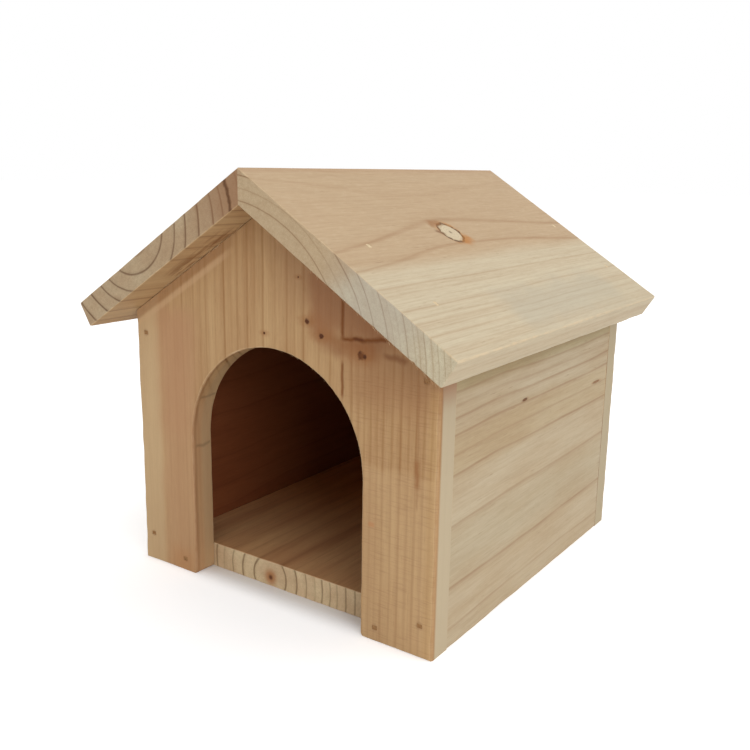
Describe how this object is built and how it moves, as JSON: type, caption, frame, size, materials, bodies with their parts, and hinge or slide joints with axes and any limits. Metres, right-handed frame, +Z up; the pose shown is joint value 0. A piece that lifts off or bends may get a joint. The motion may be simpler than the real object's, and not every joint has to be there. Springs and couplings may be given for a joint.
{
  "type": "wooden hamster house",
  "caption": "Small gabled wooden house for a hamster: arched doorway open to the ground, overhanging mitred roof, plain solid boards glued and pinned.",
  "frame": {"origin": "on the ground, under the ridge, half way along the roof", "axes": "+Z up, the doorway faces -Y, +X to the right of the doorway as seen from the front"},
  "size_m": [0.1158, 0.12, 0.11],
  "materials": {
    "front_wood": "bare softwood, sanded, vertical grain with knots",
    "back_wood": "bare softwood, sanded, vertical grain",
    "side_wood": "bare softwood, sanded, grain from front to back",
    "floor_wood": "bare softwood, sanded, grain from front to back",
    "roof_wood": "bare softwood, sanded, grain from front to back",
    "brad_steel": "bright drawn wire"
  },
  "bodies": {
    "root": {"front_panel": "front_wood", "back_panel": "back_wood", "left_side_panel": "side_wood", "right_side_panel": "side_wood", "floor_board": "floor_wood", "left_roof_board": "roof_wood", "right_roof_board": "roof_wood", "front_brads": "brad_steel", "back_brads": "brad_steel", "left_roof_brads": "brad_steel", "right_roof_brads": "brad_steel"}
  },
  "joints": []
}
